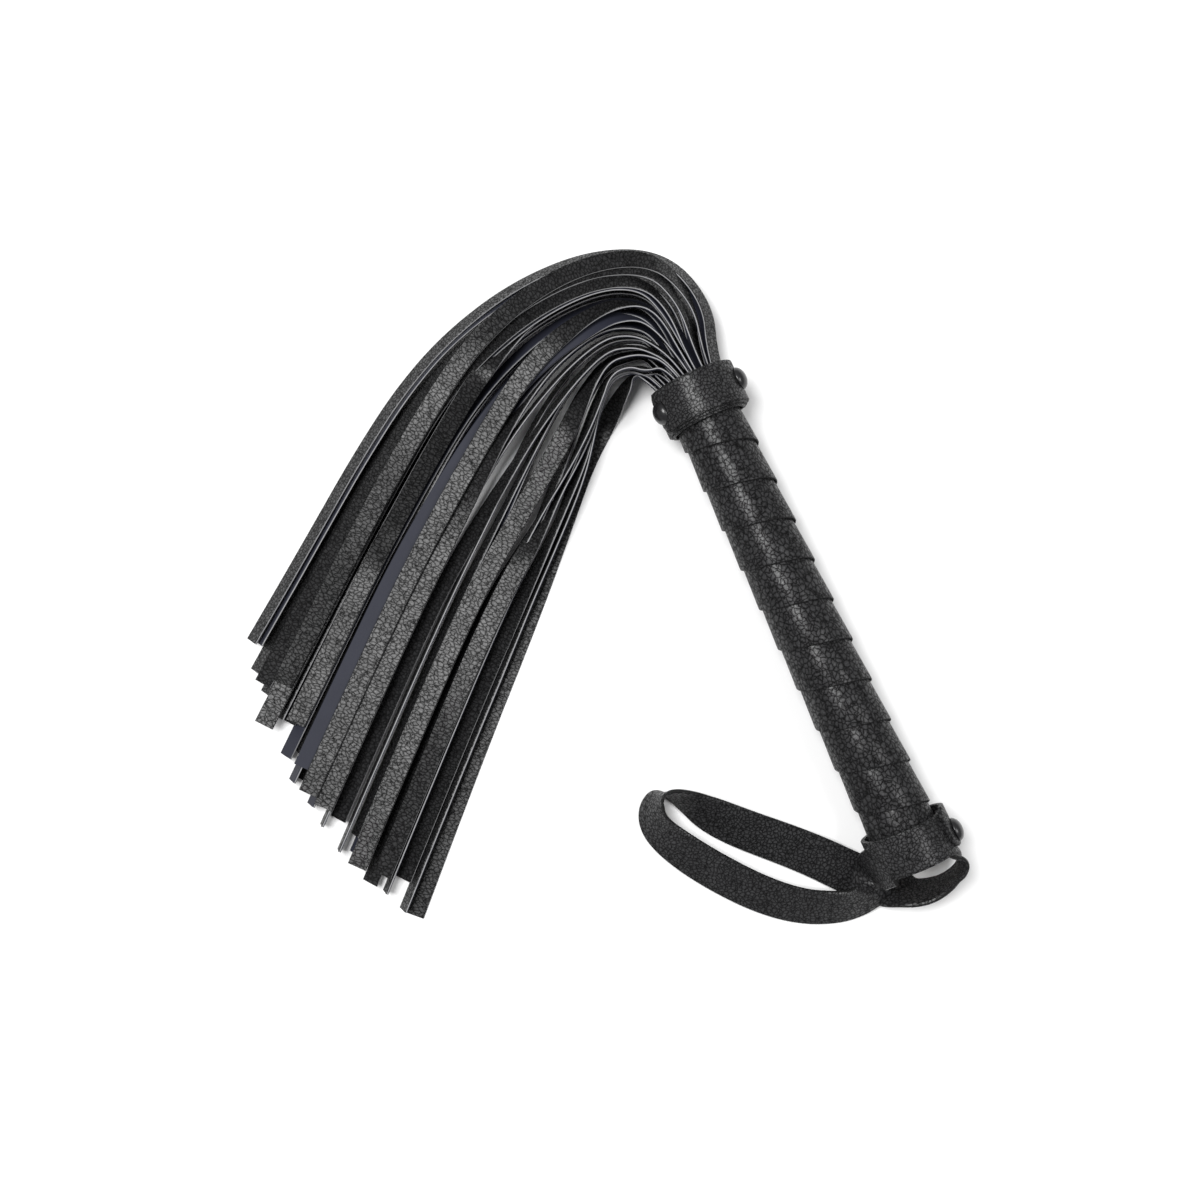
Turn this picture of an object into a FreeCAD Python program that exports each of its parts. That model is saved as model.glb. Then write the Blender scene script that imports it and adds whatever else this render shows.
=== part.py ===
"""A short multi-tail leather whip, lying on a flat surface.

Frame: the handle's axis runs along Y, butt at -Y and tails at +Y, and +Z is up. The origin is on
the surface, under the middle of the handle. Lengths are in millimetres.
"""
import FreeCAD, Part
import math
import os
from FreeCAD import Vector

# Handle
HANDLE_LENGTH = 202.0          # from the butt collar's rim to the mouth where the tails come out
CORE_RADIUS = 11.0             # wooden dowel
GRIP_RADIUS = 13.5             # over two layers of the wrap
SPIGOT_RADIUS = 9.0            # turned-down end that the tail band is rolled round
SPIGOT_LENGTH = 17.0
SPIGOT_SETBACK = 4.0           # the spigot ends this far inside the mouth
END_SETBACK = 3.0              # the dowel ends this far inside the butt collar's rim
CORE_FIT = 0.05                # radial gap between pieces pushed onto one another

# Tail band, rolled round the spigot, with a rounded end that the tails swing round
BAND_RADIUS = 13.2
SWING_SETOUT = 1.5             # the tails' swing axis, beyond the mouth

# Straps wound round the two ends
TOP_STRAP_THICKNESS = 1.1
TOP_STRAP_WIDTH = 16.0
TOP_STRAP_TURNS = 2.48
WRIST_STRAP_THICKNESS = 1.7
WRIST_STRAP_WIDTH = 17.0
BUTT_STRAP_TURNS = 1.12
LAYER_GAP = 0.05

# Domed rivets
CAP_RADIUS = 4.5
CAP_HEIGHT = 3.0
CAP_RIM = 0.6
POST_RADIUS = 1.3
POST_INNER_END = 6.0           # the posts reach in to this radius
POST_IN_CAP = 1.4
TOP_RIVET_ANGLES = (20.0, 160.0)
BUTT_RIVET_ANGLE = 15.0

# Tacks that hold the band to the spigot
TACK_ANGLES = (60.0, 120.0, 240.0, 300.0)
TACK_RADIUS = 0.75
TACK_HEAD_RADIUS = 2.0
TACK_HEAD_THICKNESS = 0.5
TACK_INNER_END = 6.0

# Tails: flat strips standing on edge
TAIL_WIDTH = 7.5
TAIL_THICKNESS = 0.9
TAIL_LAYER_STEP = 7.8          # between the three layers in the mouth
TAIL_PITCH = 1.4               # between neighbours of a layer in the mouth
MIDDLE_LAYER_TAILS = 18
OUTER_LAYER_TAILS = 9
TAIL_START_RADIUS = 14.4       # from the swing axis to the tails' inner ends

# Routes in plan, as (across the handle, beyond the mouth). The other tails lie between the first
# two. The last is the route of the loose tail that lies nearest the handle.
OUTER_ROUTE = (
    (19, 25), (12, 49), (-12, 61), (-43, 63), (-74, 57), (-101, 46),
    (-128, 29), (-152, 11.5), (-173, -4), (-191, -17),
)
INNER_ROUTE = (
    (-13.5, 15.5), (-17.5, 18), (-23, 18.5), (-31, 15.5), (-39, 7.5), (-50, -6),
    (-68, -27), (-96, -54), (-135, -92), (-180, -134),
)
LOOSE_ROUTE = (
    (-18, 12.5), (-27, 9.5), (-38, 2), (-52, -11.5), (-69, -30),
    (-97, -58), (-137, -97), (-180, -140),
)
# How far the middle tails stand out from the line between the two routes' first points
ROUTE_BOW = ((-4, 8), (-4, 2))
# How much of a tail's height in the mouth is left at each point of the routes
TAIL_DROP = (1, 1, 1, 0.85, 0.6, 0.3, 0.08, 0, 0, 0)
LOOSE_DROP = (0.95, 0.75, 0.45, 0.2, 0.05, 0, 0, 0)
TIP_BULGE = 14.0               # the middle tails reach further than the outermost ones
TIP_SCATTER = 5.0              # uneven ends

# Wrist strap, standing on edge: its route in plan, as (across the handle, beyond the butt)
WRIST_ROUTE = (
    (-18.8, -0.5), (-24, 9), (-42, 28), (-62, 47), (-79, 60), (-89, 55), (-88, 44), (-76, 29.5),
    (-60, 16), (-45, 2), (-29, -6), (-11, -8.5), (6, -8.7), (17.5, -8), (19.6, -1),
)
# How much of the shorter run an arc takes at each point of a route
ARC_SHARE = 0.45

# Worked out from the above
SWING_END = SWING_SETOUT + BAND_RADIUS
BUTT_Y = -(HANDLE_LENGTH + SWING_END) / 2
MOUTH_Y = BUTT_Y + HANDLE_LENGTH
SHOULDER_Y = MOUTH_Y - SPIGOT_LENGTH
CORE_END_Y = BUTT_Y + END_SETBACK


def wound_mid_radius(start_radius, thickness, half_turns):
    """Radius of the strap's mid-line after that many half turns."""
    return start_radius + half_turns * (thickness + LAYER_GAP) / 2


def wound_lowest(start_radius, thickness, turns):
    """Distance from the handle's axis to the underside of a wound strap."""
    last_lower_half = int(turns) * 2 - 1
    return wound_mid_radius(start_radius, thickness, last_lower_half) + thickness / 2


TOP_START = GRIP_RADIUS + CORE_FIT + TOP_STRAP_THICKNESS / 2
BUTT_START = GRIP_RADIUS + CORE_FIT + WRIST_STRAP_THICKNESS / 2
AXIS_Z = max(
    wound_lowest(TOP_START, TOP_STRAP_THICKNESS, TOP_STRAP_TURNS),
    wound_lowest(BUTT_START, WRIST_STRAP_THICKNESS, BUTT_STRAP_TURNS),
)


def on_axis(y):
    """Point of the handle's axis."""
    return Vector(0, y, AXIS_Z)


def rod(radius, y_start, y_end):
    """Solid cylinder along the handle's axis."""
    return Part.makeCylinder(radius, y_end - y_start, on_axis(y_start), Vector(0, 1, 0))


def radial(angle):
    """Unit vector out of the handle's axis. 0 points to +X and 90 up."""
    return Vector(math.cos(math.radians(angle)), 0, math.sin(math.radians(angle)))


def flat_arc(centre_x, radius, angle_start, angle_end):
    """Arc across the handle, about a centre beside its axis, as an edge."""
    points = []
    for share in (0.0, 0.5, 1.0):
        direction = radial(angle_start + share * (angle_end - angle_start))
        points.append(Vector(centre_x, 0, AXIS_Z) + direction * radius)
    return Part.Arc(*points).toShape()


def wound_strap(start_radius, thickness, turns, y_start, width):
    """A strap wound round the handle from +X, counter-clockwise about +Y seen from the butt."""
    step = (thickness + LAYER_GAP) / 2
    inner = []
    outer = []
    left = turns * 2
    half = 0
    while left > 1e-6:
        sweep = 180.0 * min(1.0, left)
        start = 0.0 if half % 2 == 0 else 180.0
        centre = 0.0 if half % 2 == 0 else step
        mid = start_radius + half * step
        inner.append(flat_arc(centre, mid - thickness / 2, start, start + sweep))
        outer.append(flat_arc(centre, mid + thickness / 2, start, start + sweep))
        half += 1
        left -= 1
    first = Part.LineSegment(inner[0].firstVertex().Point, outer[0].firstVertex().Point)
    last = Part.LineSegment(inner[-1].lastVertex().Point, outer[-1].lastVertex().Point)
    outline = Part.Wire(Part.__sortEdges__(inner + outer + [first.toShape(), last.toShape()]))
    strap = Part.Face(outline).extrude(Vector(0, width, 0))
    strap.translate(Vector(0, y_start, 0))
    return strap


def post(angle, y, radius, inner_end, outer_end):
    """Round pin that points out of the handle's axis."""
    direction = radial(angle)
    start = on_axis(y) + direction * inner_end
    return Part.makeCylinder(radius, outer_end - inner_end, start, direction)


def rivet_cap(angle, y, seat_radius):
    """Domed cap with a flat underside and a blind hole for the post."""
    dome = CAP_HEIGHT - CAP_RIM
    dome_radius = (CAP_RADIUS ** 2 + dome ** 2) / (2 * dome)
    ball = Part.makeSphere(dome_radius, Vector(0, 0, CAP_HEIGHT - dome_radius))
    cap = Part.makeCylinder(CAP_RADIUS, CAP_HEIGHT).common(ball)
    cap = cap.cut(Part.makeCylinder(POST_RADIUS, POST_IN_CAP))
    cap.rotate(Vector(0, 0, 0), Vector(0, 1, 0), 90 - angle)
    cap.translate(on_axis(y) + radial(angle) * seat_radius)
    return cap


def tack(angle, y):
    """Flat-headed tack through the band into the spigot."""
    head_top = BAND_RADIUS - 0.05
    shank = post(angle, y, TACK_RADIUS, TACK_INNER_END, head_top)
    head = post(angle, y, TACK_HEAD_RADIUS, head_top - TACK_HEAD_THICKNESS, head_top)
    return shank.fuse(head).removeSplitter()


def tail_band():
    """The uncut edge of the tails' sheet, rolled up, with its end rounded about the swing axis."""
    roll = rod(BAND_RADIUS, SHOULDER_Y + 0.2, MOUTH_Y + SWING_END)
    swing_foot = Vector(0, MOUTH_Y + SWING_SETOUT, 0)
    round_end = Part.makeCylinder(BAND_RADIUS, 2 * AXIS_Z, swing_foot)
    straight = rod(BAND_RADIUS + 1, SHOULDER_Y, MOUTH_Y + SWING_SETOUT)
    keep = straight.fuse(round_end)
    bore = rod(SPIGOT_RADIUS + CORE_FIT, SHOULDER_Y, MOUTH_Y - SPIGOT_SETBACK + CORE_FIT)
    return roll.common(keep).cut(bore)


def rounded_path(points):
    """Straight runs joined by tangent arcs, each as large as its two runs allow."""
    edges = []
    radii = []
    start = points[0]
    for before, corner, after in zip(points, points[1:], points[2:]):
        run_in = corner - before
        run_out = after - corner
        cut = ARC_SHARE * min(run_in.Length, run_out.Length)
        way_in = Vector(run_in).normalize()
        way_out = Vector(run_out).normalize()
        half_turn = way_in.getAngle(way_out) / 2
        radius = cut / math.tan(half_turn)
        radii.append(radius)
        inwards = Vector(way_out - way_in).normalize()
        centre = corner + inwards * (radius / math.cos(half_turn))
        arc_start = corner - way_in * cut
        arc_end = corner + way_out * cut
        edges.append(Part.LineSegment(start, arc_start).toShape())
        edges.append(Part.Arc(arc_start, centre - inwards * radius, arc_end).toShape())
        start = arc_end
    edges.append(Part.LineSegment(start, points[-1]).toShape())
    return Part.Wire(edges), radii


def strip_on_edge(name, points, width, thickness):
    """Flat strip that stands on edge along a route."""
    path, radii = rounded_path(points)
    forward = Vector(points[1] - points[0]).normalize()
    up = Vector(0, 0, 1)
    side = forward.cross(up).normalize()
    tall = up * (width / 2)
    thick = side * (thickness / 2)
    corners = [points[0] + thick + tall, points[0] - thick + tall,
               points[0] - thick - tall, points[0] + thick - tall]
    section = Part.makePolygon(corners + [corners[0]])
    sweep = Part.BRepOffsetAPI.MakePipeShell(path)
    sweep.setBiNormalMode(up)
    sweep.add(section, False, False)
    sweep.build()
    sweep.makeSolid()
    strip = sweep.shape()
    ratio = strip.Volume / (width * thickness * path.Length)
    print(f"{name}: length {path.Length:.0f}, smallest radius {min(radii):.0f}, volume ratio {ratio:.3f}")
    print("   radii " + " ".join(f"{radius:.0f}" for radius in radii))
    return strip


def mouth_slots():
    """Each tail's place in the mouth, as (across, layer), from the handle's left to its right."""
    slots = []
    for layer, count in ((-1, OUTER_LAYER_TAILS), (0, MIDDLE_LAYER_TAILS), (1, OUTER_LAYER_TAILS)):
        for place in range(count):
            slots.append(((place - (count - 1) / 2) * TAIL_PITCH, layer))
    return sorted(slots)


def tail_start(across, layer):
    """Where a tail begins, round the band's rounded end."""
    beyond = SWING_SETOUT + math.sqrt(TAIL_START_RADIUS ** 2 - across ** 2)
    return Vector(across, MOUTH_Y + beyond, AXIS_Z + layer * TAIL_LAYER_STEP)


def tail_points(slots, number):
    """The route of one tail, from the band to its tip."""
    across, layer = slots[number]
    points = [tail_start(across, layer)]
    floor_z = TAIL_WIDTH / 2
    rise = points[0].z - floor_z
    if number == 0:
        for (x, beyond), drop in zip(LOOSE_ROUTE, LOOSE_DROP):
            points.append(Vector(x, MOUTH_Y + beyond, floor_z + rise * drop))
        return points
    place = (number - 1) / (len(slots) - 2)
    half_mouth = TAIL_PITCH * (MIDDLE_LAYER_TAILS - 1) / 2
    mouth_place = (across / half_mouth + 1) / 2
    for index, (inner, outer, drop) in enumerate(zip(INNER_ROUTE, OUTER_ROUTE, TAIL_DROP)):
        share = (place + mouth_place) / 2 if index == 0 else place
        bow = ROUTE_BOW[index] if index < len(ROUTE_BOW) else (0, 0)
        middle = 4 * share * (1 - share)
        x = inner[0] + share * (outer[0] - inner[0]) + middle * bow[0]
        beyond = inner[1] + share * (outer[1] - inner[1]) + middle * bow[1]
        points.append(Vector(x, MOUTH_Y + beyond, floor_z + rise * drop))
    last_run = Vector(points[-1] - points[-2]).normalize()
    reach = TIP_BULGE * math.sin(math.pi * place) + TIP_SCATTER * math.sin(2.4 * number)
    points[-1] = points[-1] + last_run * reach
    return points


def handle_pieces():
    """Every piece that stays with the handle, by name."""
    top_y = MOUTH_Y - TOP_STRAP_WIDTH
    top_rivet_y = MOUTH_Y - TOP_STRAP_WIDTH / 2
    butt_rivet_y = BUTT_Y + WRIST_STRAP_WIDTH / 2
    tack_y = SHOULDER_Y + 5
    top_seat = wound_mid_radius(TOP_START, TOP_STRAP_THICKNESS, 4) + TOP_STRAP_THICKNESS / 2 + 0.05
    butt_seat = wound_mid_radius(BUTT_START, WRIST_STRAP_THICKNESS, 2) + WRIST_STRAP_THICKNESS / 2 + 0.05

    top_posts = Part.Compound([
        post(angle, top_rivet_y, POST_RADIUS, POST_INNER_END, top_seat + POST_IN_CAP)
        for angle in TOP_RIVET_ANGLES
    ])
    butt_post = post(BUTT_RIVET_ANGLE, butt_rivet_y, POST_RADIUS, POST_INNER_END, butt_seat + POST_IN_CAP)
    tacks = Part.Compound([tack(angle, tack_y) for angle in TACK_ANGLES])

    core = rod(CORE_RADIUS, CORE_END_Y, SHOULDER_Y)
    core = core.fuse(rod(SPIGOT_RADIUS, SHOULDER_Y, MOUTH_Y - SPIGOT_SETBACK)).removeSplitter()
    wrap = rod(GRIP_RADIUS, CORE_END_Y, SHOULDER_Y)
    wrap = wrap.cut(rod(CORE_RADIUS + CORE_FIT, CORE_END_Y, SHOULDER_Y))
    top_strap = wound_strap(TOP_START, TOP_STRAP_THICKNESS, TOP_STRAP_TURNS, top_y, TOP_STRAP_WIDTH)
    butt_strap = wound_strap(BUTT_START, WRIST_STRAP_THICKNESS, BUTT_STRAP_TURNS, BUTT_Y, WRIST_STRAP_WIDTH)
    return {
        "handle_core": core.cut(top_posts).cut(butt_post).cut(tacks),
        "grip_wrap": wrap.cut(butt_post),
        "tail_band": tail_band().cut(top_posts).cut(tacks),
        "band_tacks": tacks,
        "top_collar": top_strap.cut(top_posts),
        "top_rivet_posts": top_posts,
        "top_rivet_caps": Part.Compound([
            rivet_cap(angle, top_rivet_y, top_seat) for angle in TOP_RIVET_ANGLES
        ]),
        "butt_collar": butt_strap.cut(butt_post),
        "butt_rivet_post": butt_post,
        "butt_rivet_cap": rivet_cap(BUTT_RIVET_ANGLE, butt_rivet_y, butt_seat),
    }


def tail_pieces():
    """The tails, numbered from the one nearest the handle."""
    slots = mouth_slots()
    pieces = {}
    for number in range(len(slots)):
        name = f"tail_{number + 1:02d}"
        pieces[name] = strip_on_edge(name, tail_points(slots, number), TAIL_WIDTH, TAIL_THICKNESS)
    return pieces


def wrist_strap():
    """The loop for the wrist, from one side of the butt round to the other."""
    points = [Vector(x, BUTT_Y + beyond, WRIST_STRAP_WIDTH / 2) for x, beyond in WRIST_ROUTE]
    return strip_on_edge("wrist_strap", points, WRIST_STRAP_WIDTH, WRIST_STRAP_THICKNESS)


def main():
    """Write one STEP file per piece."""
    os.makedirs("parts", exist_ok=True)
    pieces = handle_pieces()
    pieces["wrist_strap"] = wrist_strap()
    pieces.update(tail_pieces())
    for name, shape in pieces.items():
        shape.exportStep(f"parts/{name}.step")
        box = shape.BoundBox
        print(f"{name}: valid {shape.isValid()}, solids {len(shape.Solids)}, {shape.Volume:.0f} mm3")
        print(f"   x {box.XMin:.1f} to {box.XMax:.1f}, y {box.YMin:.1f} to {box.YMax:.1f}, "
              f"z {box.ZMin:.1f} to {box.ZMax:.1f}")


main()
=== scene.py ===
"""The looks of a short multi-tail leather whip that lies on a table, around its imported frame.

Lengths are in metres. The handle's axis runs along Y, with the butt at -Y and the tails at +Y.
"""
import math
import random

import bpy
from mathutils import Matrix, Vector


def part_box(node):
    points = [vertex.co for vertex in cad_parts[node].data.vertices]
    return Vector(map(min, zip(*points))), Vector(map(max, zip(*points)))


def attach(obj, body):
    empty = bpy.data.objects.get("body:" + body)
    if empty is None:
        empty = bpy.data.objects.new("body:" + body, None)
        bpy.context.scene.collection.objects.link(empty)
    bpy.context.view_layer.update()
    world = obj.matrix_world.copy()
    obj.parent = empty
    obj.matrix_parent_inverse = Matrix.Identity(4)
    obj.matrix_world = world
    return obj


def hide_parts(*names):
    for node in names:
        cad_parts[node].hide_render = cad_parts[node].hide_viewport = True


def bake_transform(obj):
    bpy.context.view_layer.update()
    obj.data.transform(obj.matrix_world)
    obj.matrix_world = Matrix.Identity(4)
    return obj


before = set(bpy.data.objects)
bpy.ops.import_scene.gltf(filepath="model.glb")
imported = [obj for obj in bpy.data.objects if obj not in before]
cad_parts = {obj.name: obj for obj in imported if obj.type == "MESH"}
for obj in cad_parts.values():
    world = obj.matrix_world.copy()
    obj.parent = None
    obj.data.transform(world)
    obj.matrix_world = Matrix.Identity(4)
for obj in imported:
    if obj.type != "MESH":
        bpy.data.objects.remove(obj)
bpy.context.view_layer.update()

MM = 0.001
UP = Vector((0, 0, 1))

# Sizes and places of the handle, from its CAD pieces
WRAP_LOW, WRAP_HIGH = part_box("grip_wrap")
AXIS_Z = (WRAP_LOW.z + WRAP_HIGH.z) / 2
GRIP_RADIUS = (WRAP_HIGH.z - WRAP_LOW.z) / 2
TOP_LOW, TOP_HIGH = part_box("top_collar")
BUTT_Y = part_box("butt_collar")[0].y
MOUTH_Y = TOP_HIGH.y
BAND_LOW, BAND_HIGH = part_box("tail_band")

# Camera
CAMERA_TURN = math.radians(24.75)    # the handle's lean in the picture
CAMERA_HEIGHT = math.radians(85)
CAMERA_DISTANCE = 0.531
CAMERA_AIM = Vector((-0.0663, 0.03195, AXIS_Z))
CAMERA_LENS = 42.4

# The wrap: one strip wound from the butt, each turn lapping over the one before
WRAP_PITCH = 16.46 * MM
WRAP_LEATHER = 0.85 * MM
WRAP_LAP = 4.0 * MM
WRAP_LIFT = 0.25 * MM                # how far each turn stands off the one below
WRAP_ROUNDING = 0.4 * MM
WRAP_END_GAP = 0.2 * MM
WRAP_STEPS = 56
WRAP_SEAM_Y = BUTT_Y + 21.0 * MM     # where a seam crosses the handle's right side
EDGE_TILT = 0.2                      # faces that look this much along the handle are cut edge, and get the near-black edge colour that also paints shade into the seams

# Straps
STRAP_LEATHER = 1.1 * MM
WRIST_LEATHER = 1.7 * MM
WRIST_WIDTH = 16.5 * MM
TOP_SETBACK = 2.0 * MM
TOP_TURNS = 2.48
TOP_DRIFT = 0.85 * MM
BUTT_SETBACK = 1.5 * MM
BUTT_WIDTH = 15.4 * MM
BUTT_TURNS = 1.12
BUTT_DRIFT = 1.8 * MM
STRAP_CORNER = 2.5 * MM              # clipped off a strap's outer end
STRAP_FIRST_GAP = 0.1 * MM           # between the grip and a strap's first turn
STRAP_TURN_GAP = 0.08 * MM
SPIRAL_STEPS = 72

# Rivet caps
TOP_CAP_ANGLES = (20, 160)
BUTT_CAP_ANGLES = (15,)
TOP_CAP_SEAT = 17.0 * MM             # the caps' flat sides are this far from the axis
BUTT_CAP_SEAT = 17.05 * MM
CAP_FLATTENING = 0.66

# Tails
TAIL_WIDTH = 7.5 * MM
TAIL_LEATHER = 0.95 * MM
TAIL_LAYER_STEP = 7.8 * MM
TAIL_PITCH = 1.4 * MM
MIDDLE_LAYER_TAILS = 18
OUTER_LAYER_TAILS = 9
LAST_TAIL = MIDDLE_LAYER_TAILS + 2 * OUTER_LAYER_TAILS - 1
MOUTH_SQUEEZE = 0.93
TAIL_START_RADIUS = 14.4 * MM
SWING_SETOUT = 1.5 * MM
# Routes in plan, in millimetres, as (across the handle, beyond the mouth). The other tails lie between
# the first two. The last is the route of the loose tail that lies nearest the handle.
OUTER_ROUTE = (
    (19, 25), (12, 49), (-12, 61), (-43, 63), (-74, 57), (-101, 46),
    (-128, 29), (-152, 11.5), (-173, -4), (-191, -17),
)
INNER_ROUTE = (
    (-15, 8.5), (-20, 13), (-28, 13), (-35, 6), (-42.5, -4), (-52, -16),
    (-70, -33), (-98, -57), (-137, -93), (-180, -134),
)
LOOSE_ROUTE = (
    (-17, 11.5), (-25, 8), (-35, 1), (-48.5, -9.5), (-65, -26.5),
    (-93, -55), (-135, -95), (-180, -140),
)
# How far the middle tails stand out from the line between the two routes' first points
ROUTE_BOW = ((-4, 8), (-4, 2))
# How far a tail may stray towards the inner route at each point of the routes, and how much of that
# the lower, middle and upper layer's tails do
MOST_STRAY = (0.3, 0.3, 0.28, 0.24, 0.18, 0.12, 0.05, 0, 0, 0)
LAYER_STRAY = (-0.1, 0.15, 0.7)
# How much of its height in the mouth a tail still has at each point of its route
TAIL_DROP = (1, 1, 1, 0.85, 0.6, 0.3, 0.08, 0, 0, 0)
LOOSE_DROP = (0.95, 0.75, 0.45, 0.2, 0.05, 0, 0, 0)
TIP_BULGE = 14.0 * MM                # how much farther the middle tails reach
TIP_SCATTER = 5.0 * MM
ROOT_DEPTH = 3.0 * MM                # the tails start this far inside the mouth
FAN_WIDTH = 92 * MM                  # across the spread tails
STAND_RANGE = (62, 84)               # degrees from the level at which the tails leave the mouth
STAND_FALL = 22                      # less of that for the outermost tail
FLAT_STAND = math.radians(80)
OPEN_TAILS = (2, 6, 12, 17, 23, 31)  # tails that lean over far
OPEN_LEAN = (22, 36)
CLOSED_LEAN = (44, 78)
LEAN_START = (0.25, 0.38)            # share of the length at which a tail starts to lean over
LEAN_RUN = 0.28
LOOSE_TURN = (0.03, 0.18)
# Tails that lie flat on the others: how far each strays across the fan, and where along its length
# it starts and ends to turn over
FLAT_TAILS = {
    4: (0.04, 0.30, 0.50), 9: (0.0, 0.12, 0.3), 13: (0.10, 0.25, 0.45), 18: (0.09, 0.08, 0.25),
    21: (-0.06, 0.10, 0.28), 24: (0.12, 0.06, 0.24), 28: (-0.10, 0.3, 0.5),
    30: (0.02, 0.05, 0.22), 33: (-0.14, 0.05, 0.22),
}
TURNED_TAILS = (8, 16, 18, 19, 22, 27, 31, 34)    # tails with their smooth back up
PILE_CELL = 2.0 * MM
HALF_STEPS = 4                       # from the middle of a tail's width to its rim


# Camera, floor and light

def make_camera():
    """A camera almost straight above, turned so that the handle runs down to the right."""
    right = Vector((math.cos(CAMERA_TURN), -math.sin(CAMERA_TURN), 0))
    away = Vector((math.sin(CAMERA_TURN), math.cos(CAMERA_TURN), 0))
    back = UP * math.sin(CAMERA_HEIGHT) - away * math.cos(CAMERA_HEIGHT)
    data = bpy.data.cameras.new("camera")
    data.lens = CAMERA_LENS
    camera = bpy.data.objects.new("camera", data)
    bpy.context.scene.collection.objects.link(camera)
    place = Matrix.Translation(CAMERA_AIM + back * CAMERA_DISTANCE)
    axes = Matrix((right, back.cross(right), back)).transposed().to_4x4()
    camera.matrix_world = place @ axes
    bpy.context.scene.camera = camera


def make_light(name, place, aim, size, power):
    """A square soft light."""
    data = bpy.data.lights.new(name, "AREA")
    data.size = size
    data.energy = power
    light = bpy.data.objects.new(name, data)
    bpy.context.scene.collection.objects.link(light)
    light.location = place
    light.rotation_euler = (Vector(aim) - Vector(place)).to_track_quat("-Z", "Y").to_euler()


def make_surroundings():
    """White floor, faint even light from all around and two soft lights above."""
    world = bpy.data.worlds.new("studio")
    world.use_nodes = True
    background = world.node_tree.nodes["Background"]
    background.inputs["Color"].default_value = (1, 1, 1, 1)
    background.inputs["Strength"].default_value = 0.22
    bpy.context.scene.world = world
    bpy.context.scene.view_settings.view_transform = "Standard"
    middle = (-0.06, 0.0, 0)
    make_light("soft_key", place=(-0.30, 0.25, 1.0), aim=middle, size=0.45, power=12)
    make_light("soft_fill", place=(0.50, -0.30, 1.0), aim=middle, size=0.45, power=5)
    deselect()
    bpy.ops.mesh.primitive_plane_add(size=6)
    floor = bpy.context.object
    floor.name = "floor"
    floor.data.materials.append(floor_finish())


# Materials

class Wire:
    """One output of a material's node, for writing shader maths as expressions."""

    def __init__(self, finish, socket):
        self.finish = finish
        self.socket = socket

    def math(self, operation, *values):
        inputs = dict(enumerate(values))
        return self.finish.node("ShaderNodeMath", {"operation": operation}, inputs)

    def __add__(self, other):
        return self.math("ADD", self, other)

    def __radd__(self, other):
        return self.math("ADD", other, self)

    def __sub__(self, other):
        return self.math("SUBTRACT", self, other)

    def __rsub__(self, other):
        return self.math("SUBTRACT", other, self)

    def __mul__(self, other):
        return self.math("MULTIPLY", self, other)


class Finish:
    """One procedural material."""

    def __init__(self, name, **fixed):
        self.material = bpy.data.materials.new(name)
        self.material.use_nodes = True
        self.tree = self.material.node_tree
        self.shader = self.tree.nodes["Principled BSDF"]
        for socket, value in fixed.items():
            self.shader.inputs[socket.replace("_", " ")].default_value = value

    def node(self, kind, settings=None, inputs=None, output=0):
        """A new node: its settings are made first, then its inputs. Gives one of its outputs."""
        made = self.tree.nodes.new(kind)
        for name, value in (settings or {}).items():
            if name == "stops":
                self.set_stops(made.color_ramp, value)
            else:
                setattr(made, name, value)
        for name, value in (inputs or {}).items():
            self.feed(made.inputs[name], value)
        return Wire(self, made.outputs[output])

    def set_stops(self, ramp, stops):
        """Gives a ramp its grey stops, as pairs of a position and a shade."""
        while len(ramp.elements) < len(stops):
            ramp.elements.new(0.5)
        for element, (place, shade) in zip(ramp.elements, stops):
            element.position = place
            element.color = (shade, shade, shade, 1)

    def feed(self, socket, value):
        """Links a wire to an input, or sets the input's constant value."""
        if isinstance(value, Wire):
            self.tree.links.new(value.socket, socket)
        else:
            socket.default_value = value

    def place(self, source="Object"):
        """Where a point is: on the object, or along a strap's own length and width."""
        return self.node("ShaderNodeTexCoord", output=source)

    def noise(self, where, scale, detail=2.0, output=0):
        inputs = {"Vector": where, "Scale": scale, "Detail": detail}
        return self.node("ShaderNodeTexNoise", inputs=inputs, output=output)

    def pebbles(self, where, size, crease):
        """Rounded cells with creases between them, from 0 in a crease to 1."""
        inputs = {"Vector": where, "Scale": 1 / size}
        edge = self.node("ShaderNodeTexVoronoi", {"feature": "DISTANCE_TO_EDGE"}, inputs)
        return self.ramp(edge, (0.0, 0.0), (crease * 0.4, 0.5), (crease, 0.85), (0.4, 1.0))

    def ramp(self, value, *stops):
        return self.node("ShaderNodeValToRGB", {"stops": stops}, {0: value})

    def mix_colours(self, share, first, second):
        inputs = {0: share, 6: (*first, 1), 7: (*second, 1)}
        return self.node("ShaderNodeMix", {"data_type": "RGBA"}, inputs, output=2)

    def bump(self, height, depth, strength=1.0):
        inputs = {"Strength": strength, "Distance": depth, "Height": height}
        return self.node("ShaderNodeBump", inputs=inputs)

    def out(self, **values):
        """Feeds the shader's inputs and gives the finished material."""
        for socket, value in values.items():
            self.feed(self.shader.inputs[socket.replace("_", " ")], value)
        return self.material


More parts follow.
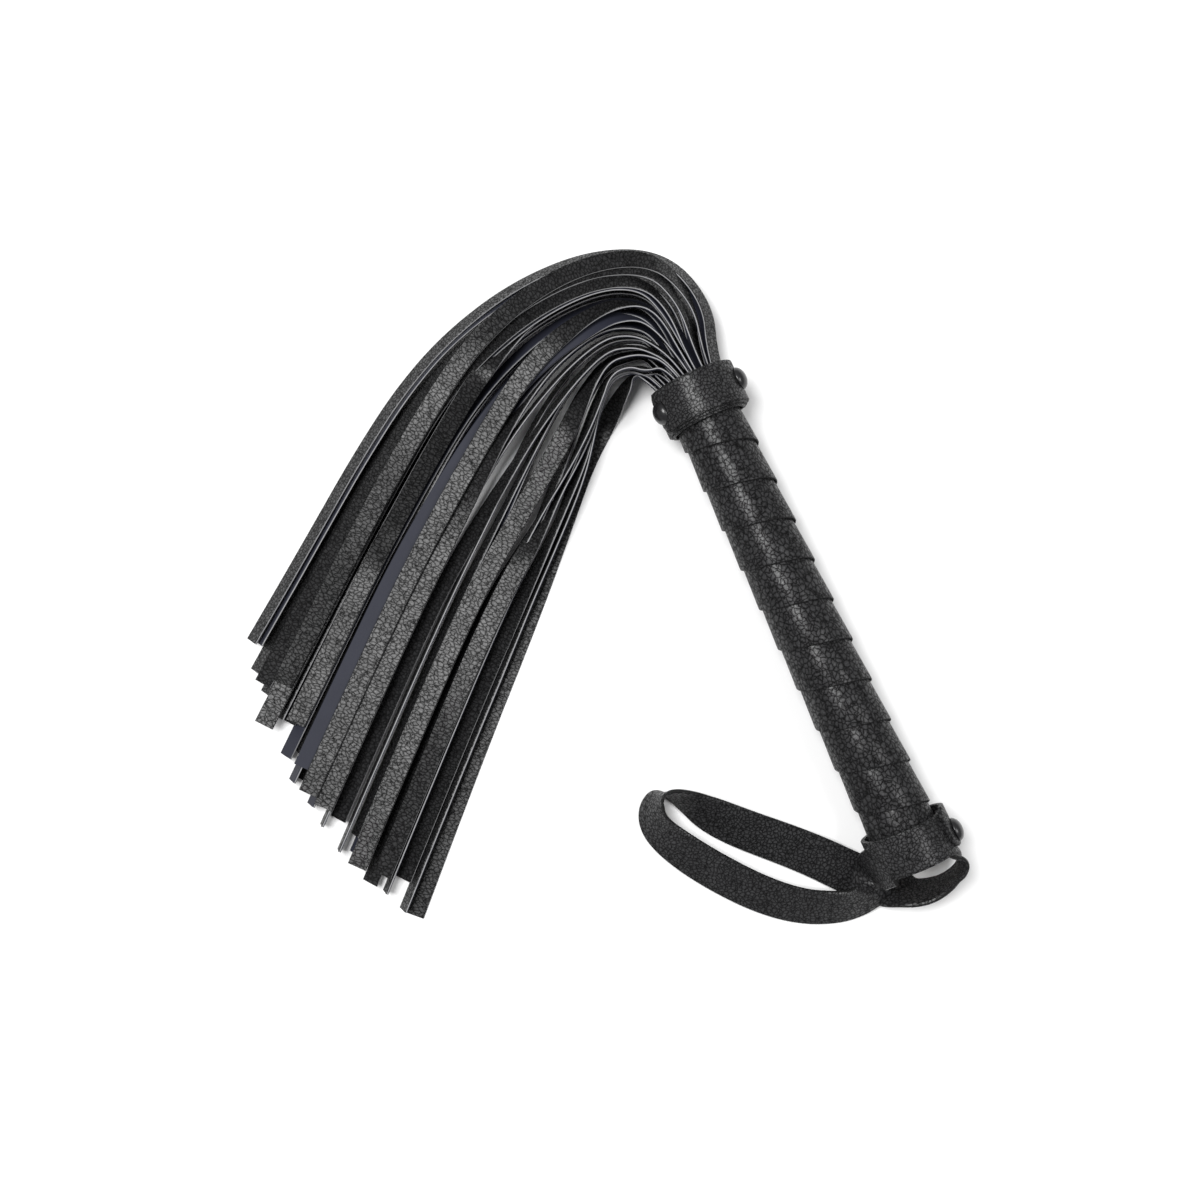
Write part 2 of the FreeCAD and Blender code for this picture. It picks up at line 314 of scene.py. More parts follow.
def grained_leather(name, source, pebble, dark, light, stretch=(1, 1, 1)):
    """Black pebble-grained leather. pebble is the size of its cells. Its tops shine, its creases do not, and
    its colour is darker in the creases as painted shade.
    """
    finish = Finish(name, Specular_IOR_Level=0.1, Coat_Roughness=0.32)
    where = finish.node("ShaderNodeMapping", None, {"Vector": finish.place(source), "Scale": stretch})
    drift = finish.noise(where, 1.0 / pebble, 2.0, output=1)
    bent = finish.node("ShaderNodeVectorMath", {"operation": "MULTIPLY_ADD"},
                       {0: drift, 1: (0.9 * pebble,) * 3, 2: where})
    tops = finish.pebbles(bent, pebble, 0.24)
    small = finish.pebbles(bent, pebble * 0.45, 0.2)
    fine = finish.noise(where, 4 / pebble, 3.0)
    patches = finish.noise(where, 90, 2.0)
    height = tops + small * 0.35 + fine * 0.2
    # Tone of the colour: painted shade in the creases between the large and small pebbles, random patches on
    # the tops
    shade = tops * (small * 0.4 + 0.3 + patches * 0.6)
    return finish.out(
        Base_Color=finish.mix_colours(shade, dark, light),
        Coat_Weight=shade * 0.6,
        Roughness=0.74 - tops * 0.3 - small * 0.05 + (patches - 0.5) * 0.15,
        Normal=finish.bump(height, 0.22 * pebble),
    )


def smooth_leather(name, source, dark, light):
    """The smooth, slightly napped back of the tails' leather."""
    finish = Finish(name, Specular_IOR_Level=0.2)
    where = finish.place(source)
    nap = finish.noise(where, 1500, 4.0)
    cloud = finish.noise(where, 70, 3.0)
    return finish.out(
        Base_Color=finish.mix_colours(nap * 0.5 + cloud * 0.5, dark, light),
        Roughness=0.62 + (nap - 0.5) * 0.2,
        Normal=finish.bump(nap, 0.0001, 0.5),
    )


def cut_edge(name, dark, light):
    """The fibrous cut edge of leather."""
    finish = Finish(name, Specular_IOR_Level=0.3)
    where = finish.place()
    fibre = finish.noise(where, 2200, 3.0)
    cloud = finish.noise(where, 240, 2.0)
    return finish.out(
        Base_Color=finish.mix_colours(fibre * 0.5 + cloud * 0.5, dark, light),
        Roughness=0.75 + fibre * 0.1,
        Normal=finish.bump(fibre, 0.00012, 0.6),
    )


def gloss_black():
    """Black lacquered metal with faint dust and orange peel."""
    finish = Finish("rivet_lacquer", Coat_Roughness=0.12)
    where = finish.place()
    peel = finish.noise(where, 900, 2.0)
    dust = finish.noise(where, 320, 3.0)
    return finish.out(
        Base_Color=finish.mix_colours(dust, (0.006, 0.006, 0.007), (0.02, 0.02, 0.021)),
        Roughness=0.22 + dust * 0.12,
        Normal=finish.bump(peel, 0.00004, 0.3),
    )


def bare_steel():
    """Plain drawn steel of the posts and tacks."""
    finish = Finish("bare_steel", Metallic=1.0)
    where = finish.place()
    stretched = finish.node("ShaderNodeMapping", None, {"Vector": where, "Scale": (1, 12, 1)})
    lines = finish.noise(stretched, 800, 3.0)
    return finish.out(
        Base_Color=finish.mix_colours(lines, (0.35, 0.35, 0.36), (0.6, 0.6, 0.61)),
        Roughness=0.3 + lines * 0.2,
        Normal=finish.bump(lines, 0.00003, 0.4),
    )


def dowel_wood():
    """Turned hardwood with rings across its end and grain along it."""
    finish = Finish("dowel_wood", Specular_IOR_Level=0.3)
    where = finish.place()
    moved = finish.node("ShaderNodeMapping", None,
                        {"Vector": where, "Location": (0.004, 0, -AXIS_Z + 0.006), "Scale": (1, 0.06, 1)})
    waver = finish.noise(moved, 300, 2.0, output=1)
    bent = finish.node("ShaderNodeVectorMath", {"operation": "MULTIPLY_ADD"},
                       {0: waver, 1: (0.0015,) * 3, 2: moved})
    rings = finish.node("ShaderNodeTexWave", {"wave_type": "RINGS", "rings_direction": "Y"},
                        {"Vector": bent, "Scale": 160, "Distortion": 1.5})
    pores = finish.noise(moved, 2500, 2.0)
    return finish.out(
        Base_Color=finish.mix_colours(rings * 0.7 + pores * 0.3, (0.30, 0.19, 0.10), (0.55, 0.40, 0.24)),
        Roughness=0.6 + pores * 0.15,
        Normal=finish.bump(pores + rings * 0.4, 0.00008, 0.5),
    )


def floor_finish():
    """Plain matt white surface."""
    finish = Finish("floor_white", Specular_IOR_Level=0.1)
    cloud = finish.noise(finish.place(), 3, 2.0)
    return finish.out(
        Base_Color=finish.mix_colours(cloud, (0.93, 0.93, 0.93), (0.95, 0.95, 0.95)),
        Roughness=0.9,
    )


# Small helpers for modelling

def deselect():
    """Leaves nothing selected."""
    bpy.ops.object.select_all(action="DESELECT")


def take(piece):
    """Makes a piece the only one selected."""
    deselect()
    piece.select_set(True)
    bpy.context.view_layer.objects.active = piece


def apply_all(piece):
    """Applies a piece's modifiers, then its place and turn."""
    take(piece)
    for modifier in list(piece.modifiers):
        bpy.ops.object.modifier_apply(modifier=modifier.name)
    bpy.ops.object.transform_apply(location=True, rotation=True, scale=True)


def finish_piece(piece, *materials, angle=40):
    """Gives a piece its materials and smooth shading."""
    take(piece)
    piece.data.materials.clear()
    for material in materials:
        piece.data.materials.append(material)
    bpy.ops.object.shade_smooth_by_angle(angle=math.radians(angle))


# Handle

def make_wrap(leather, edge):
    """The grip's wrap: a strip's section, screwed along the handle and trimmed at both ends."""
    width = WRAP_PITCH + WRAP_LAP
    deselect()
    bpy.ops.mesh.primitive_plane_add(size=1)
    wrap = bpy.context.object
    wrap.name = "wound_grip"
    bpy.ops.object.mode_set(mode="EDIT")
    bpy.ops.transform.resize(value=(WRAP_LEATHER, width, 1))
    bpy.ops.transform.translate(value=(GRIP_RADIUS - WRAP_LEATHER / 2, width / 2, 0))
    lean = math.atan2(WRAP_LEATHER + WRAP_LIFT, WRAP_PITCH)
    bpy.ops.transform.rotate(value=-lean, orient_axis="Z", center_override=(GRIP_RADIUS, 0, 0))
    bpy.ops.mesh.bevel(offset=WRAP_ROUNDING, segments=3, affect="VERTICES")
    bpy.ops.mesh.delete(type="ONLY_FACE")
    bpy.ops.object.mode_set(mode="OBJECT")
    turns = math.ceil((WRAP_HIGH.y - WRAP_LOW.y) / WRAP_PITCH) + 2
    wrap.location = (0, WRAP_SEAM_Y - 3 * WRAP_PITCH, AXIS_Z)
    screw = wrap.modifiers.new("screw", "SCREW")
    screw.axis = "Y"
    screw.screw_offset = WRAP_PITCH
    screw.angle = -2 * math.pi
    screw.iterations = turns
    screw.steps = WRAP_STEPS
    screw.render_steps = WRAP_STEPS
    apply_all(wrap)
    trim(wrap, WRAP_LOW.y + WRAP_END_GAP, keep_above=True)
    trim(wrap, WRAP_HIGH.y - WRAP_END_GAP, keep_above=False)
    finish_piece(wrap, leather, angle=35)
    # The step faces at the seams take the strap's near-black edge colour: their real cut edge, and also
    # painted shade along each seam
    wrap.data.materials.append(edge)
    for face in wrap.data.polygons:
        if abs(face.normal.y) > EDGE_TILT:
            face.material_index = 1
    return wrap


def trim(piece, y, keep_above):
    """Cuts a piece square across the handle's axis and closes it."""
    take(piece)
    bpy.ops.object.mode_set(mode="EDIT")
    bpy.ops.mesh.select_all(action="SELECT")
    bpy.ops.mesh.bisect(plane_co=(0, y, 0), plane_no=(0, 1, 0), use_fill=True,
                        clear_inner=keep_above, clear_outer=not keep_above)
    bpy.ops.object.mode_set(mode="OBJECT")


def spiral_curve(start_radius, step, turns, drift):
    """A spiral round Z that moves along Z by drift in each turn, and its length."""
    curve = bpy.data.curves.new("spiral", "CURVE")
    curve.dimensions = "3D"
    curve.twist_mode = "Z_UP"
    spline = curve.splines.new("POLY")
    count = int(turns * SPIRAL_STEPS) + 1
    spline.points.add(count - 1)
    length = 0.0
    last = None
    for index, point in enumerate(spline.points):
        turned = index / SPIRAL_STEPS
        angle = 2 * math.pi * turned
        radius = start_radius + step * turned
        place = Vector((radius * math.cos(angle), radius * math.sin(angle), drift * turned))
        point.co = (*place, 1)
        length += (place - last).length if last else 0.0
        last = place
    guide = bpy.data.objects.new("spiral", curve)
    bpy.context.scene.collection.objects.link(guide)
    return guide, length


def wound_strap(name, y_start, width, leather, turns, drift, material):
    """A strap wound round the handle, with rounded rims and clipped corners at its outer end.

    It is made round Z. The turn onto the handle's axis takes +Z to -Y, so the drift is made downward.
    """
    first_radius = GRIP_RADIUS + leather / 2 + STRAP_FIRST_GAP
    guide, length = spiral_curve(first_radius, leather + STRAP_TURN_GAP, turns, -drift)
    deselect()
    bpy.ops.mesh.primitive_grid_add(x_subdivisions=int(turns * 64), y_subdivisions=10, size=1)
    strap = bpy.context.object
    strap.name = name
    bpy.ops.object.mode_set(mode="EDIT")
    bpy.ops.transform.resize(value=(length, width, 1))
    bpy.ops.transform.translate(value=(length / 2, 0, 0))
    bpy.ops.object.mode_set(mode="OBJECT")
    for vertex in strap.data.vertices:
        beyond = abs(vertex.co.y) - (width / 2 - STRAP_CORNER)
        if beyond > 0:
            vertex.co.x = min(vertex.co.x, length - beyond)
    bpy.ops.object.mode_set(mode="EDIT")
    bpy.ops.mesh.select_all(action="SELECT")
    bpy.ops.transform.rotate(value=math.pi / 2, orient_axis="X", center_override=(0, 0, 0))
    bpy.ops.object.mode_set(mode="OBJECT")
    bend = strap.modifiers.new("bend", "CURVE")
    bend.object = guide
    bend.deform_axis = "POS_X"
    thick = strap.modifiers.new("thick", "SOLIDIFY")
    thick.thickness = leather
    thick.offset = 0
    rims = strap.modifiers.new("rims", "BEVEL")
    rims.width = leather * 0.3
    rims.segments = 3
    rims.limit_method = "ANGLE"
    rims.angle_limit = math.radians(50)
    apply_all(strap)
    bpy.data.objects.remove(guide)
    strap.rotation_euler = (math.pi / 2, 0, 0)
    strap.location = (0, y_start + width / 2, AXIS_Z)
    apply_all(strap)
    finish_piece(strap, material)
    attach(strap, "handle")
    return strap


def make_rivet_caps(node, name, angles, seat, lacquer):
    """Domed rivet caps in the place of a CAD node's."""
    low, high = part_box(node)
    for number, angle in enumerate(angles):
        direction = Vector((math.cos(math.radians(angle)), 0, math.sin(math.radians(angle))))
        deselect()
        bpy.ops.mesh.primitive_uv_sphere_add(segments=48, ring_count=24, radius=(high.y - low.y) / 2)
        cap = bpy.context.object
        cap.name = f"{name}_{number + 1}"
        bpy.ops.object.mode_set(mode="EDIT")
        bpy.ops.mesh.select_all(action="SELECT")
        bpy.ops.mesh.bisect(plane_co=(0, 0, 0), plane_no=(0, 0, 1), use_fill=True, clear_inner=True)
        bpy.ops.mesh.select_all(action="SELECT")
        bpy.ops.transform.resize(value=(1, 1, CAP_FLATTENING), center_override=(0, 0, 0))
        bpy.ops.object.mode_set(mode="OBJECT")
        rim = cap.modifiers.new("rim", "BEVEL")
        rim.width = 0.3 * MM
        rim.segments = 3
        rim.limit_method = "ANGLE"
        cap.rotation_euler = direction.to_track_quat("Z", "Y").to_euler()
        cap.location = Vector((0, (low.y + high.y) / 2, AXIS_Z)) + direction * seat
        apply_all(cap)
        finish_piece(cap, lacquer)
        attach(cap, "handle")
        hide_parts(node)


def make_root_roll(leather):
    """The rolled edge of the tails' sheet, just inside the mouth."""
    deselect()
    deep = MOUTH_Y - ROOT_DEPTH - BAND_LOW.y
    bpy.ops.mesh.primitive_cylinder_add(vertices=64, radius=(BAND_HIGH.x - BAND_LOW.x) / 2, depth=deep)
    roll = bpy.context.object
    roll.name = "tail_root_roll"
    rim = roll.modifiers.new("rim", "BEVEL")
    rim.width = 0.6 * MM
    rim.segments = 3
    rim.limit_method = "ANGLE"
    roll.rotation_euler = (math.pi / 2, 0, 0)
    roll.location = (0, BAND_LOW.y + deep / 2, AXIS_Z)
    apply_all(roll)
    finish_piece(roll, leather)
    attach(roll, "handle")
    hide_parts("tail_band")


# Routes and strips

def nurbs_points(controls):
    """Points along the smooth curve that follows a list of control points."""
    curve = bpy.data.curves.new("route", "CURVE")
    curve.dimensions = "3D"
    spline = curve.splines.new("NURBS")
    spline.points.add(len(controls) - 1)
    for point, control in zip(spline.points, controls):
        point.co = (*control, 1)
    spline.order_u = 3
    spline.use_endpoint_u = True
    spline.resolution_u = 14
    guide = bpy.data.objects.new("route", curve)
    mesh = bpy.data.meshes.new_from_object(guide)
    points = [vertex.co.copy() for vertex in mesh.vertices]
    bpy.data.objects.remove(guide)
    bpy.data.meshes.remove(mesh)
    bpy.data.curves.remove(curve)
    return points


def path_length(points):
    return sum((b - a).length for a, b in zip(points, points[1:]))


def directions(points):
    """The way forward at each point of a path."""
    ways = []
    for index in range(len(points)):
        before = points[max(index - 1, 0)]
        after = points[min(index + 1, len(points) - 1)]
        ways.append((after - before).normalized())
    return ways


# A strip's section: across, through, and which material its next side has.
# 0 is the grain, 1 the back and 2 the cut edge.
STRIP_SECTION = (
    (-0.5, -0.2, 1), (-0.475, -0.5, 1), (0.0, -0.5, 1), (0.475, -0.5, 1), (0.5, -0.2, 2),
    (0.5, 0.2, 0), (0.475, 0.5, 0), (0.0, 0.5, 0), (-0.475, 0.5, 0), (-0.5, 0.2, 2),
)


def make_strip(name, path, across, width, leather, materials, shift):
    """A flat leather strip along a path. across is the direction of its width at each point."""
    vertices = []
    faces = []
    slots = []
    placed = []
    count = len(STRIP_SECTION)
    along = 0.0
    ways = directions(path)
    for index, (point, way, wide) in enumerate(zip(path, ways, across)):
        wide = (wide - way * wide.dot(way)).normalized()
        thick = way.cross(wide)
        if index:
            along += (point - path[index - 1]).length
        for u, v, _ in STRIP_SECTION:
            vertices.append(point + wide * (u * width) + thick * (v * leather))
            placed.append((u * width + shift[0], along + shift[1]))
    for row in range(len(path) - 1):
        for column in range(count):
            following = (column + 1) % count
            a = row * count + column
            b = row * count + following
            faces.append((a, a + count, b + count, b))
            slots.append(STRIP_SECTION[column][2])
    last = (len(path) - 1) * count
    faces.append(tuple(range(count)))
    faces.append(tuple(range(last + count - 1, last - 1, -1)))
    slots += [2, 2]
    mesh = bpy.data.meshes.new(name)
    mesh.from_pydata(vertices, [], faces)
    layer = mesh.uv_layers.new(name="strip")
    for loop in mesh.loops:
        layer.data[loop.index].uv = placed[loop.vertex_index]
    for face, slot in zip(mesh.polygons, slots):
        face.material_index = slot
    for material in materials:
        mesh.materials.append(material)
    strip = bpy.data.objects.new(name, mesh)
    bpy.context.scene.collection.objects.link(strip)
    take(strip)
    bpy.ops.object.shade_smooth_by_angle(angle=math.radians(30))
    return strip


def smooth_step(low, high, value):
    share = min(1.0, max(0.0, (value - low) / (high - low)))
    return share * share * (3 - 2 * share)


# Tails

def mouth_slots():
    """Each tail's place in the mouth, as (across, layer), from the handle's left to its right."""
    slots = []
    for layer, count in ((-1, OUTER_LAYER_TAILS), (0, MIDDLE_LAYER_TAILS), (1, OUTER_LAYER_TAILS)):
        for place in range(count):
            slots.append(((place - (count - 1) / 2) * TAIL_PITCH, layer))
    return sorted(slots)


def distance_to_run(point, start, end):
    """How far a point is from a straight run."""
    share = (point - start).dot(end - start) / (end - start).length_squared
    return (point - start.lerp(end, min(1.0, max(0.0, share)))).length


def clear_room(first, second, gap):
    """How near two neighbouring tails come, by their leans and the gap between their middles."""
    runs = []
    for middle, lean in ((0.0, first), (gap, second)):
        half = TAIL_WIDTH / 2 * math.cos(lean)
        runs.append((Vector((middle + half, 0)), Vector((middle - half, TAIL_WIDTH * math.sin(lean)))))
    near = [distance_to_run(point, *runs[1]) for point in runs[0]]
    near += [distance_to_run(point, *runs[0]) for point in runs[1]]
    return min(near)


def least_gap(first, second):
    """The least gap at which two neighbouring tails stay clear of each other."""
    gap = TAIL_WIDTH
    while gap > TAIL_LEATHER and clear_room(first, second, gap - 0.1 * MM) > TAIL_LEATHER * 1.05:
        gap -= 0.1 * MM
    return gap


def plan_fan(chance, leaning):
    """Each leaning tail's lean, and its place across the fan, from 0 nearest the handle to 1."""
    leans = []
    for number in leaning:
        bounds = OPEN_LEAN if number in OPEN_TAILS else CLOSED_LEAN
        leans.append(math.radians(chance.uniform(*bounds)))
    gaps = [least_gap(first, second) for first, second in zip(leans, leans[1:])]
    spare = FAN_WIDTH - sum(gaps)
    shares = [chance.uniform(0.3, 1.0) for _ in gaps]
    gaps = [gap + spare * share / sum(shares) for gap, share in zip(gaps, shares)]
    places = [sum(gaps[:index]) / sum(gaps) for index in range(len(leans))]
    return dict(zip(leaning, leans)), dict(zip(leaning, places))


def root_points(across, layer):
    """The first control points of a tail, inside and just beyond the mouth, and its height there."""
    rise = AXIS_Z + layer * TAIL_LAYER_STEP - TAIL_WIDTH / 2
    beyond = SWING_SETOUT + math.sqrt(TAIL_START_RADIUS ** 2 - across ** 2)
    turned = MM * (1.5 - across / (5 * MM))
    root = Vector((across, MOUTH_Y - ROOT_DEPTH, rise))
    return [root, Vector((across - turned, MOUTH_Y + beyond * 0.5, rise))], rise


def loose_route(slots):
    """Control points of the loose tail."""
    across, layer = slots[0]
    points, rise = root_points(across * MOUTH_SQUEEZE, layer)
    for (x, y), drop in zip(LOOSE_ROUTE, LOOSE_DROP):
        points.append(Vector((x * MM, MOUTH_Y + y * MM, rise * drop)))
    return points


def planned_share(number):
    """A tail's place across the fan if all were spread evenly, from 0 nearest the handle to 1."""
    return (number - 1) / (LAST_TAIL - 1)


def tail_route(slots, number, place, stray):
    """Control points of one tail, from inside the mouth to its tip, with its height above its rest."""
    across, layer = slots[number]
    across *= MOUTH_SQUEEZE
    points, rise = root_points(across, layer)
    half_mouth = TAIL_PITCH * (MIDDLE_LAYER_TAILS - 1) / 2 * MOUTH_SQUEEZE
    mouth_place = (across / half_mouth + 1) / 2
    planned = planned_share(number)
    for index, (inner, outer, drop) in enumerate(zip(INNER_ROUTE, OUTER_ROUTE, TAIL_DROP)):
        settled = min(1.0, index / 5)
        share = (planned + mouth_place) / 2 if index == 0 else planned
        share += (place - planned) * settled - MOST_STRAY[index] * stray * (1 - planned ** 4)
        share = max(share, 0.0)
        bow = ROUTE_BOW[index] if index < len(ROUTE_BOW) else (0, 0)
        middle = 4 * share * (1 - share)
        x = inner[0] + share * (outer[0] - inner[0]) + middle * bow[0]
        y = inner[1] + share * (outer[1] - inner[1]) + middle * bow[1]
        points.append(Vector((x * MM, MOUTH_Y + y * MM, rise * drop)))
    last_run = (points[-1] - points[-2]).normalized()
    reach = TIP_BULGE * math.sin(math.pi * planned) + TIP_SCATTER * math.sin(2.4 * number)
    points[-1] = points[-1] + last_run * reach
    return points


def width_spots(point, wide):
    """Points from one rim of a tail to the other."""
    steps = range(-HALF_STEPS, HALF_STEPS + 1)
    return [point + wide * (TAIL_WIDTH * step / (2 * HALF_STEPS)) for step in steps]


class Pile:
    """How high the tails that already lie on the table reach, on a fine grid."""

    def __init__(self, cell):
        self.cell = cell
        self.tops = {}

    def key(self, point):
        return round(point.x / self.cell), round(point.y / self.cell)

    def top_under(self, points):
        return max(self.tops.get(self.key(point), 0.0) for point in points)

    def add(self, path, across):
        """Adds a strip that lies along a path."""
        for point, wide in zip(path, across):
            for spot in width_spots(point, wide):
                key = self.key(spot)
                self.tops[key] = max(self.tops.get(key, 0.0), spot.z + TAIL_LEATHER / 2)


def nearby(values, index, reach):
    return values[max(0, index - reach):index + reach + 1]


def eased(values, reach=5):
    """Values raised to their neighbours' highest and then smoothed, so that a strip bends gently."""
    raised = [max(nearby(values, index, reach)) for index in range(len(values))]
    for _ in range(3):
        groups = [nearby(raised, index, reach) for index in range(len(raised))]
        raised = [sum(group) / len(group) for group in groups]
    return raised


def gone_shares(path):
    """How much of a path's length is gone at each of its points."""
    total = path_length(path)
    shares = [0.0]
    for before, after in zip(path, path[1:]):
        shares.append(shares[-1] + (after - before).length / total)
    return shares


def outward_sides(path):
    """The level direction to the outer side of the bunch's bend, at each point of a path."""
    return [Vector((way.y, -way.x, 0)).normalized() for way in directions(path)]


def lean_tail(route, stand, lean, start, end):
    """A tail that leaves the mouth on edge and leans over further on, with its inner rim up."""
    laid = []
    across = []
    for point, side, gone in zip(route, outward_sides(route), gone_shares(route)):
        share = smooth_step(start, end, gone)
        angle = stand + (lean - stand) * share
        wide = UP * math.sin(angle) - side * math.cos(angle)
        rest = TAIL_WIDTH / 2 * math.sin(angle) + TAIL_LEATHER / 2
        laid.append(Vector((point.x, point.y, rest + point.z)))
        across.append(wide)
    return laid, across


def lay_tail(route, pile, start, end):
    """A tail that leaves the mouth on edge and then lies flat on whatever is in the pile."""
    sides = outward_sides(route)
    inner = []
    outer = []
    for point, side in zip(route, sides):
        spots = width_spots(point, side)
        inner.append(pile.top_under(spots[:HALF_STEPS + 1]))
        outer.append(pile.top_under(spots[HALF_STEPS:]))
    inner = eased(inner)
    outer = eased(outer)
    laid = []
    across = []
    for point, side, gone, low, high in zip(route, sides, gone_shares(route), outer, inner):
        share = smooth_step(start, end, gone)
        tilt = math.asin(max(-0.5, min(0.5, (high - low) / TAIL_WIDTH)))
        angle = FLAT_STAND + (tilt - FLAT_STAND) * share
        standing_z = TAIL_WIDTH / 2 * math.sin(FLAT_STAND) + TAIL_LEATHER / 2 + point.z
        lying_z = (low + high) / 2 + TAIL_LEATHER * 0.6
        laid.append(Vector((point.x, point.y, standing_z * (1 - share) + lying_z * share)))
        across.append(UP * math.sin(angle) - side * math.cos(angle))
    return laid, across


def make_tail(number, laid, across, materials, shift):
    """One tail's strip. Its root lies inside the mouth."""
    grain, back, edge = materials
    faces = (back, grain, edge) if number in TURNED_TAILS else materials
    name = f"fringe_{number + 1:02d}"
    strip = make_strip(name, laid, across, TAIL_WIDTH, TAIL_LEATHER, faces, shift)
    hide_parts(f"tail_{number + 1:02d}")
    path_length(laid)
    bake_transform(strip)


def make_tails(materials):
    """Every tail: one lies loose on the table, most lean on one another, and some lie flat on them."""
    chance = random.Random(5)
    slots = mouth_slots()
    leaning = [number for number in range(1, len(slots)) if number not in FLAT_TAILS]
    leans, places = plan_fan(chance, leaning)
    pile = Pile(PILE_CELL)
    shifts = [(chance.uniform(0, 1), chance.uniform(0, 1)) for _ in slots]
    laid, across = lay_tail(nurbs_points(loose_route(slots)), pile, *LOOSE_TURN)
    make_tail(0, laid, across, materials, shifts[0])
    for number in leaning:
        stray = LAYER_STRAY[slots[number][1] + 1] * chance.uniform(0.7, 1.0)
        route = nurbs_points(tail_route(slots, number, places[number], stray))
        stand = math.radians(chance.uniform(*STAND_RANGE) - STAND_FALL * places[number])
        start = chance.uniform(*LEAN_START)
        laid, across = lean_tail(route, stand, leans[number], start, start + LEAN_RUN)
        pile.add(laid, across)
        make_tail(number, laid, across, materials, shifts[number])
    for number, (drift, start, end) in FLAT_TAILS.items():
        place = planned_share(number) + drift
        route = nurbs_points(tail_route(slots, number, place, chance.uniform(0.0, 0.8)))
        laid, across = lay_tail(route, pile, start, end)
        pile.add(laid, across)
        make_tail(number, laid, across, materials, shifts[number])


# Wrist strap, from the butt collar's left side round its loop and under the butt to the right side:
# its lower and its upper rim, in millimetres, with Y from the butt
WRIST_RIMS = (
    ((-12.5, -0.4, 25.1), (-12.5, 16.4, 25.1)),
    ((-15.4, -0.6, 20.5), (-15.4, 15.8, 20.5)),
    ((-16.6, -1.4, 14.5), (-17.6, 13.5, 14.9)),
    ((-15.2, -4.0, 8.5), (-19.5, 7.5, 12.8)),
    ((-18.0, -7.0, 3.8), (-21.5, 3.2, 13.0)),
    ((-25.0, -8.4, 1.6), (-26.5, 1.8, 12.0)),
    ((-34.0, -7.8, 1.2), (-33.5, 4.6, 10.5)),
    ((-49.2, -1.4, 1.2), (-42.5, 10.0, 10.0)),
    ((-63.0, 9.6, 1.2), (-53.5, 21.0, 9.5)),
    ((-77.0, 26.5, 1.2), (-64.5, 36.0, 10.0)),
    ((-86.0, 41.5, 1.2), (-72.0, 47.5, 11.5)),
    ((-88.8, 53.0, 1.2), (-77.0, 54.5, 13.5)),
    ((-86.0, 61.5, 1.3), (-77.2, 60.5, 15.0)),
    ((-79.0, 66.5, 1.3), (-73.5, 64.0, 15.5)),
    ((-72.0, 60.0, 1.2), (-67.0, 62.0, 15.0)),
    ((-63.0, 37.5, 1.2), (-55.5, 53.2, 9.0)),
    ((-39.5, 13.6, 1.2), (-31.0, 30.3, 6.5)),
    ((-26.0, -1.0, 1.1), (-16.0, 10.5, 2.2)),
    ((-17.0, -5.2, 1.8), (-11.8, 3.5, 1.3)),
    ((-11.0, -9.3, 8.5), (-7.5, -1.8, 1.3)),
    ((-6.0, -12.0, 13.5), (-3.5, -5.6, 1.3)),
    ((1.0, -12.6, 14.5), (2.5, -8.0, 1.4)),
    ((8.0, -11.0, 16.5), (9.0, -8.8, 1.8)),
    ((12.8, -7.0, 19.5), (15.6, -6.6, 4.2)),
    ((13.2, -1.6, 23.4), (16.2, -1.8, 7.2)),
    ((10.2, 1.0, 24.4), (10.4, 0.8, 8.4)),
    ((9.6, 2.6, 24.4), (9.4, 2.6, 8.4)),
)


def make_wrist_strap(materials):
    """The loop for the wrist."""
    butt = Vector((0, BUTT_Y, 0))
    lower = nurbs_points([butt + Vector(low) * MM for low, _ in WRIST_RIMS])
    upper = nurbs_points([butt + Vector(high) * MM for _, high in WRIST_RIMS])
    path = [(low + high) / 2 for low, high in zip(lower, upper)]
    across = [high - low for low, high in zip(lower, upper)]
    strap = make_strip("wrist_loop_strap", path, across, WRIST_WIDTH, WRIST_LEATHER, materials, (0, 0))
    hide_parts("wrist_strap")
    path_length(path)
    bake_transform(strap)


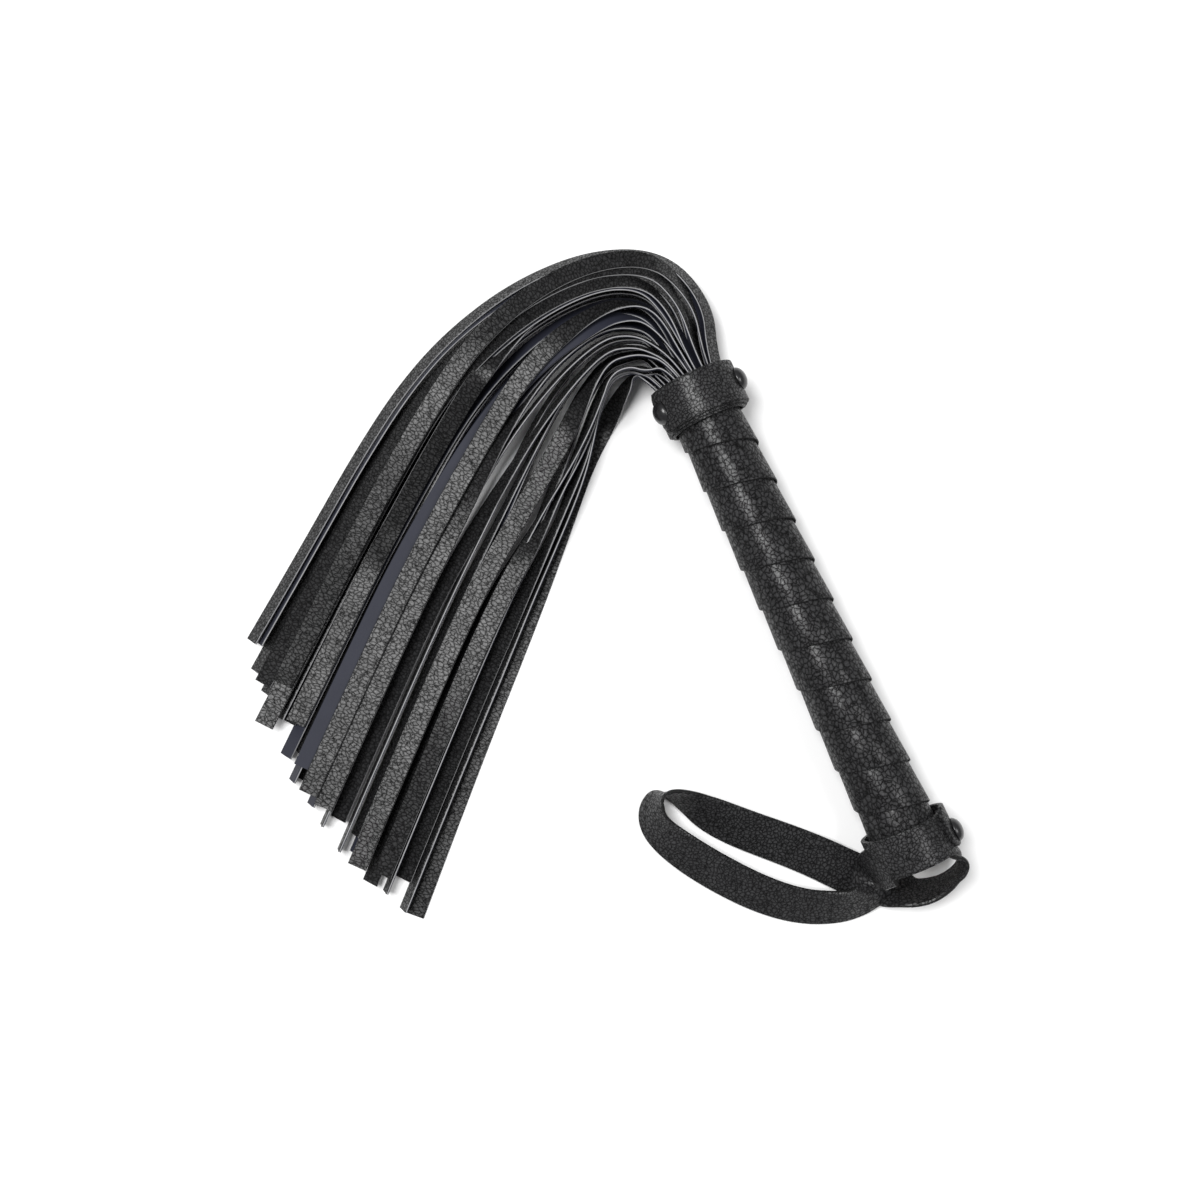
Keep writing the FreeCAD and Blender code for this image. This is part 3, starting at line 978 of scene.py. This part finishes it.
def main():
    make_camera()
    # The leather's darkest tone, which also paints the shade in the grain's creases
    black_and_crease_shade = (0.0012, 0.0012, 0.0013)
    grain_light = (0.040, 0.040, 0.042)
    tail_grain = grained_leather("tail_grain", "UV", 1.25 * MM, black_and_crease_shade, (0.026, 0.026, 0.027), (0.62, 1, 1))
    tail_back = smooth_leather("tail_back", "UV", (0.012, 0.013, 0.020), (0.030, 0.032, 0.048))
    tail_edge = cut_edge("tail_edge", (0.14, 0.14, 0.145), (0.42, 0.42, 0.43))
    make_tails((tail_grain, tail_back, tail_edge))
    strap_grain = grained_leather("strap_grain", "UV", 1.4 * MM, black_and_crease_shade, grain_light)
    strap_edge_and_seam_shade = cut_edge("strap_edge_and_seam_shade", (0.002, 0.002, 0.002), (0.008, 0.008, 0.008))
    make_wrist_strap((strap_grain, strap_grain, strap_edge_and_seam_shade))
    make_surroundings()

    grip_grain = grained_leather("grip_grain", "Object", 1.7 * MM, black_and_crease_shade, grain_light, (1, 0.85, 1))
    collar_grain = grained_leather("collar_grain", "Object", 1.4 * MM, black_and_crease_shade, (0.050, 0.050, 0.052))
    wrap = make_wrap(grip_grain, strap_edge_and_seam_shade)
    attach(wrap, "handle")
    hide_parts("grip_wrap")

    top = wound_strap("top_collar_strap", TOP_LOW.y - TOP_SETBACK, TOP_HIGH.y - TOP_LOW.y,
                      STRAP_LEATHER, TOP_TURNS, TOP_DRIFT, collar_grain)
    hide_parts("top_collar")
    butt = wound_strap("butt_collar_strap", BUTT_Y + BUTT_SETBACK, BUTT_WIDTH,
                       WRIST_LEATHER, BUTT_TURNS, BUTT_DRIFT, collar_grain)
    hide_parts("butt_collar")
    lacquer = gloss_black()
    make_rivet_caps("top_rivet_caps", "top_cap", TOP_CAP_ANGLES, TOP_CAP_SEAT, lacquer)
    make_rivet_caps("butt_rivet_cap", "butt_cap", BUTT_CAP_ANGLES, BUTT_CAP_SEAT, lacquer)
    make_root_roll(tail_grain)

    steel = bare_steel()
    shown_nodes = {
        "handle_core": dowel_wood(), "band_tacks": steel, "top_rivet_posts": steel, "butt_rivet_post": steel,
    }
    for node, material in shown_nodes.items():
        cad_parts[node].data.materials.clear()
        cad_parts[node].data.materials.append(material)


main()
